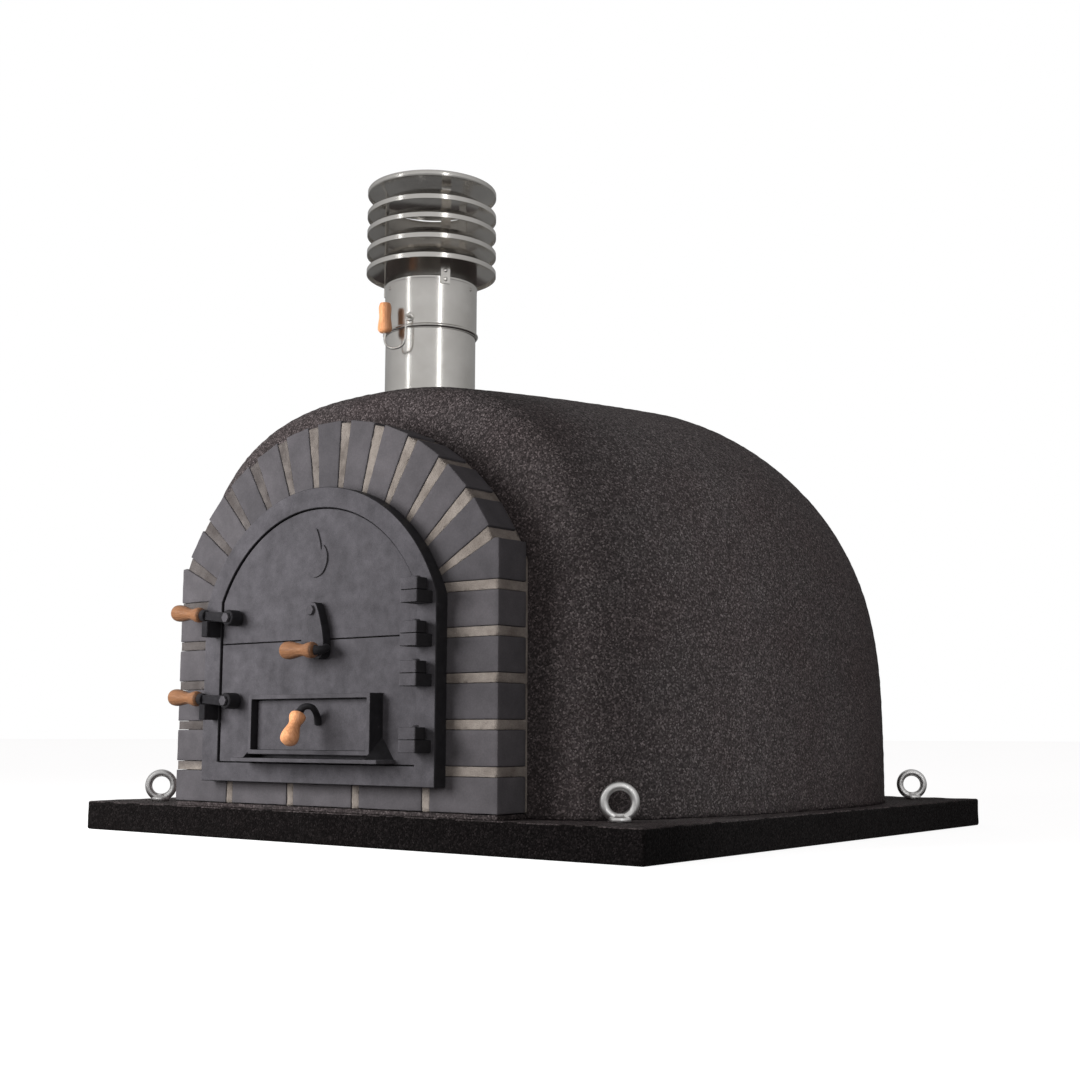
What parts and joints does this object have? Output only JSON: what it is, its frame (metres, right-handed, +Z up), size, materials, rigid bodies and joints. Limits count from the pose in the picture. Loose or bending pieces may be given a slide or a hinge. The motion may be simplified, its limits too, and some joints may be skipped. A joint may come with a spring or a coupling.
{
  "type": "wood fired pizza oven",
  "caption": "Domed wood fired oven on a square slab, with a brick-arched front, a split iron door with latches and an air flap, and a steel flue with a damper and a louvred cowl.",
  "frame": {"origin": "centre of the slab's underside", "axes": "+Z up, -Y out of the front of the door, +X to the right of someone who faces the door, on the hinge side"},
  "size_m": [1.15, 1.2104, 1.086],
  "materials": {
    "render": "matte",
    "brick": "matte",
    "mortar": "matte",
    "firebrick": "matte",
    "wool": "matte",
    "iron": "satin",
    "steel": "polished",
    "zinc": "polished",
    "wood": "satin"
  },
  "bodies": {
    "oven_body": {"base_slab": "render", "eyebolt_front_left": "zinc", "eyebolt_front_right": "zinc", "eyebolt_back_left": "zinc", "eyebolt_back_right": "zinc", "hearth_floor": "firebrick", "refractory_dome": "firebrick", "entrance_throat": "firebrick", "insulation_layer": "wool", "render_shell": "render", "brick_arch_01": "brick", "brick_arch_02": "brick", "brick_arch_03": "brick", "brick_arch_04": "brick", "brick_arch_05": "brick", "brick_arch_06": "brick", "brick_arch_07": "brick", "brick_arch_08": "brick", "brick_arch_09": "brick", "brick_arch_10": "brick", "brick_arch_11": "brick", "brick_left_1": "brick", "brick_left_2": "brick", "brick_left_3": "brick", "brick_left_4": "brick", "brick_left_5": "brick", "brick_right_1": "brick", "brick_right_2": "brick", "brick_right_3": "brick", "brick_right_4": "brick", "brick_right_5": "brick", "brick_bottom_1": "brick", "brick_bottom_2": "brick", "brick_bottom_3": "brick", "brick_bottom_4": "brick", "brick_bottom_5": "brick", "brick_mortar": "mortar", "door_frame": "iron", "hinge_pin_lower_a": "iron", "hinge_pin_lower_b": "iron", "hinge_pin_upper_a": "iron", "hinge_pin_upper_b": "iron", "flue_pipe_lower": "steel", "flue_pipe_upper": "steel", "chimney_cowl": "steel"},
    "lower_leaf": {"door_leaf_lower": "iron", "latch_bolt_lower": "iron"},
    "upper_leaf": {"door_leaf_upper": "iron", "latch_bolt_upper": "iron", "middle_latch_bolt": "iron"},
    "lower_latch": {"latch_lever_lower": "iron", "latch_grip_lower": "wood"},
    "upper_latch": {"latch_lever_upper": "iron", "latch_grip_upper": "wood"},
    "middle_latch": {"middle_latch": "iron", "middle_latch_grip": "wood"},
    "air_flap": {"air_flap": "iron", "air_flap_grip": "wood"},
    "damper": {"flue_damper": "steel", "flue_damper_grip": "wood"}
  },
  "joints": [
    {"name": "lower_leaf_hinge", "type": "hinge", "parent": "oven_body", "child": "lower_leaf", "pos_m": [0.224, -0.594, 0.2], "axis": [0, 0, 1], "range_deg": [0, 90]},
    {"name": "upper_leaf_hinge", "type": "hinge", "parent": "lower_leaf", "child": "upper_leaf", "pos_m": [0.224, -0.594, 0.35], "axis": [0, 0, 1], "range_deg": [0, 90]},
    {"name": "upper_latch_pivot", "type": "hinge", "parent": "upper_leaf", "child": "upper_latch", "pos_m": [-0.168, -0.592, 0.3415], "axis": [0, 1, 0], "range_deg": [0, 60]},
    {"name": "middle_latch_pivot", "type": "hinge", "parent": "upper_leaf", "child": "middle_latch", "pos_m": [0.01, -0.58, 0.345], "axis": [0, 1, 0], "range_deg": [-90, 90]},
    {"name": "lower_latch_pivot", "type": "hinge", "parent": "lower_leaf", "child": "lower_latch", "pos_m": [-0.168, -0.592, 0.2132], "axis": [0, 1, 0], "range_deg": [0, 40]},
    {"name": "air_flap_hinge", "type": "hinge", "parent": "lower_leaf", "child": "air_flap", "pos_m": [0.016, -0.5855, 0.144], "axis": [1, 0, 0], "range_deg": [0, 60]},
    {"name": "damper_spindle", "type": "hinge", "parent": "oven_body", "child": "damper", "pos_m": [0, -0.3234, 0.836], "axis": [0.274, -0.9617, 0], "range_deg": [0, 90]}
  ]
}
